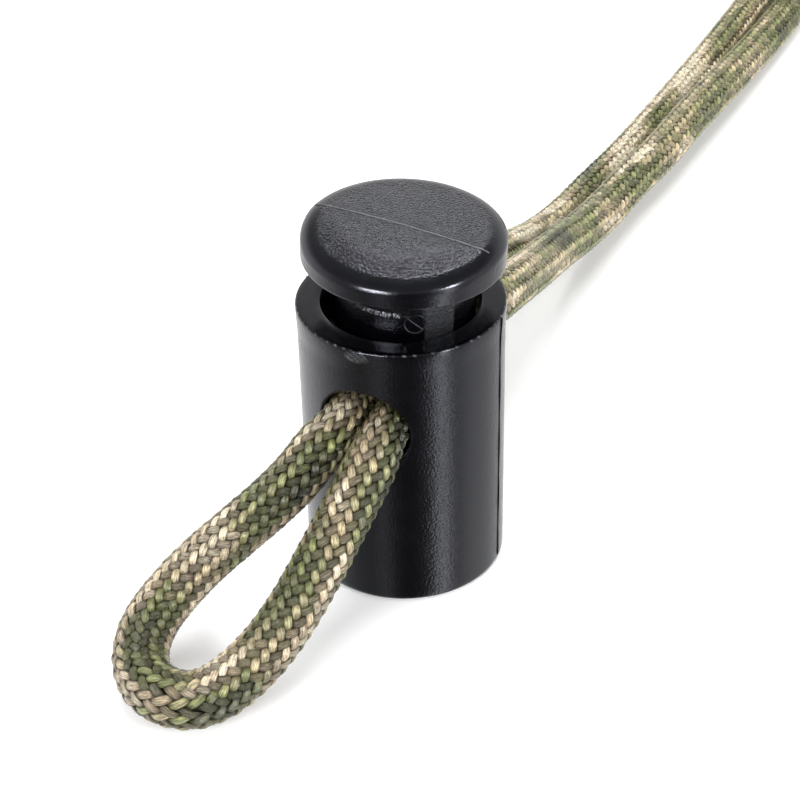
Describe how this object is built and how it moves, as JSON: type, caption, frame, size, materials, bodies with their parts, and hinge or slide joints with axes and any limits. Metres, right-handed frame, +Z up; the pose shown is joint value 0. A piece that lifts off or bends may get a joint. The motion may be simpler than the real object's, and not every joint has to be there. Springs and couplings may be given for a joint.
{
  "type": "cord lock",
  "caption": "Cylindrical push-button cord lock: a sprung plunger in a barrel clamps a doubled braided drawcord, its loop in front and its tails tied in a hank behind.",
  "frame": {"origin": "centre of the barrel's foot, on the surface that the lock stands on", "axes": "+Z up along the barrel and the plunger's travel; the cross hole for the cord runs along Y, with the loop at -Y and the tails at +Y; the mould's parting plane is the XZ plane"},
  "size_m": [0.028, 0.2163, 0.0283],
  "materials": {
    "barrel_plastic": "near-black moulded plastic, fine spark-eroded satin texture",
    "plunger_plastic": "near-black moulded plastic, leathery texture on top, smoother sides",
    "spring_steel": "bright spring wire",
    "camouflage_cord": "braided synthetic sheath in olive, dark green and tan yarns",
    "tie_band": "woven black band"
  },
  "bodies": {
    "barrel": {"barrel": "barrel_plastic", "spring": "spring_steel", "cord_loop": "camouflage_cord", "cord_tail_left": "camouflage_cord", "cord_tail_right": "camouflage_cord", "cord_hank": "camouflage_cord", "hank_tie": "tie_band"},
    "plunger": {"plunger": "plunger_plastic"}
  },
  "joints": [
    {"name": "plunger_press", "type": "slide", "parent": "barrel", "child": "plunger", "axis": [0, 0, -1], "range_m": [0, 0.003], "stiffness_N_per_m": 950, "springref_m": -0.004, "deforming": ["spring"]}
  ]
}
